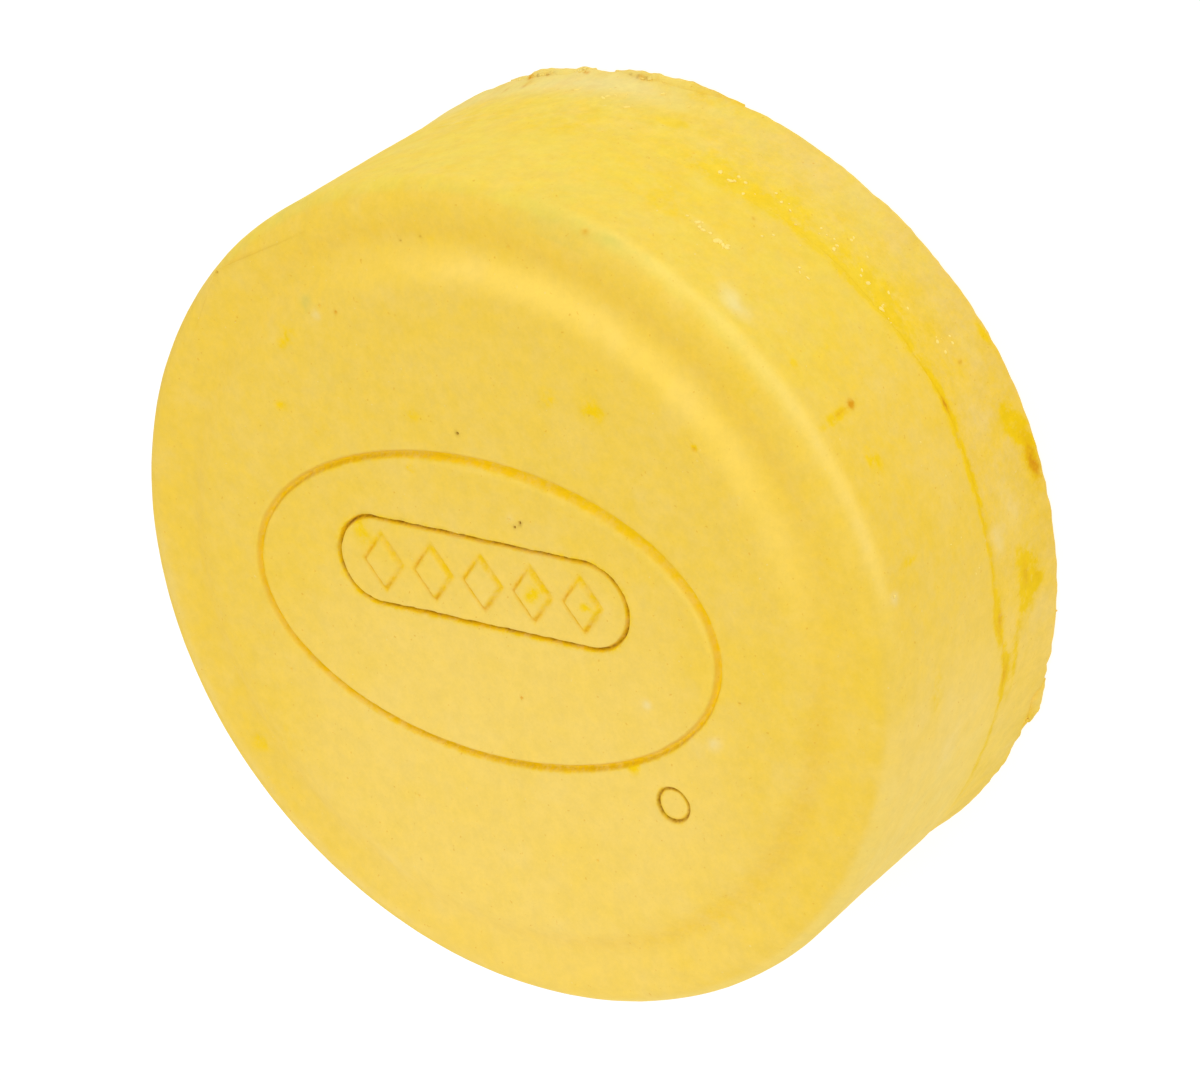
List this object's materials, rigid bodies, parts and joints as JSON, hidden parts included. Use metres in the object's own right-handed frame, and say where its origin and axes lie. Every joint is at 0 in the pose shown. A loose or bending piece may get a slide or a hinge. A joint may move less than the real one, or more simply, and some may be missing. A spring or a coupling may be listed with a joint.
{
  "type": "clay bar",
  "caption": "Round puck-shaped clay bar, hard and dry, with a raised front disc that carries an oval groove and a plain relief; cast in layers, it lies on its flat back.",
  "frame": {"origin": "middle of the flat back face, which the bar lies on", "axes": "+Z out of the embossed face along the bar's axis, +X along the long way of the oval groove, +Y across it"},
  "size_m": [0.07, 0.07, 0.0266],
  "materials": {
    "front_clay": "dry, matt and powdery, cast smooth with pinholes, faint smudges and pale flecks",
    "back_clay": "dry and matt, mottled with orange-brown stains behind the pour line",
    "flash_clay": "rough, granular and darker, with crumbly edges"
  },
  "bodies": {
    "root": {"front_layer": "front_clay", "back_layer": "back_clay", "rim_flash": "flash_clay"}
  },
  "joints": []
}
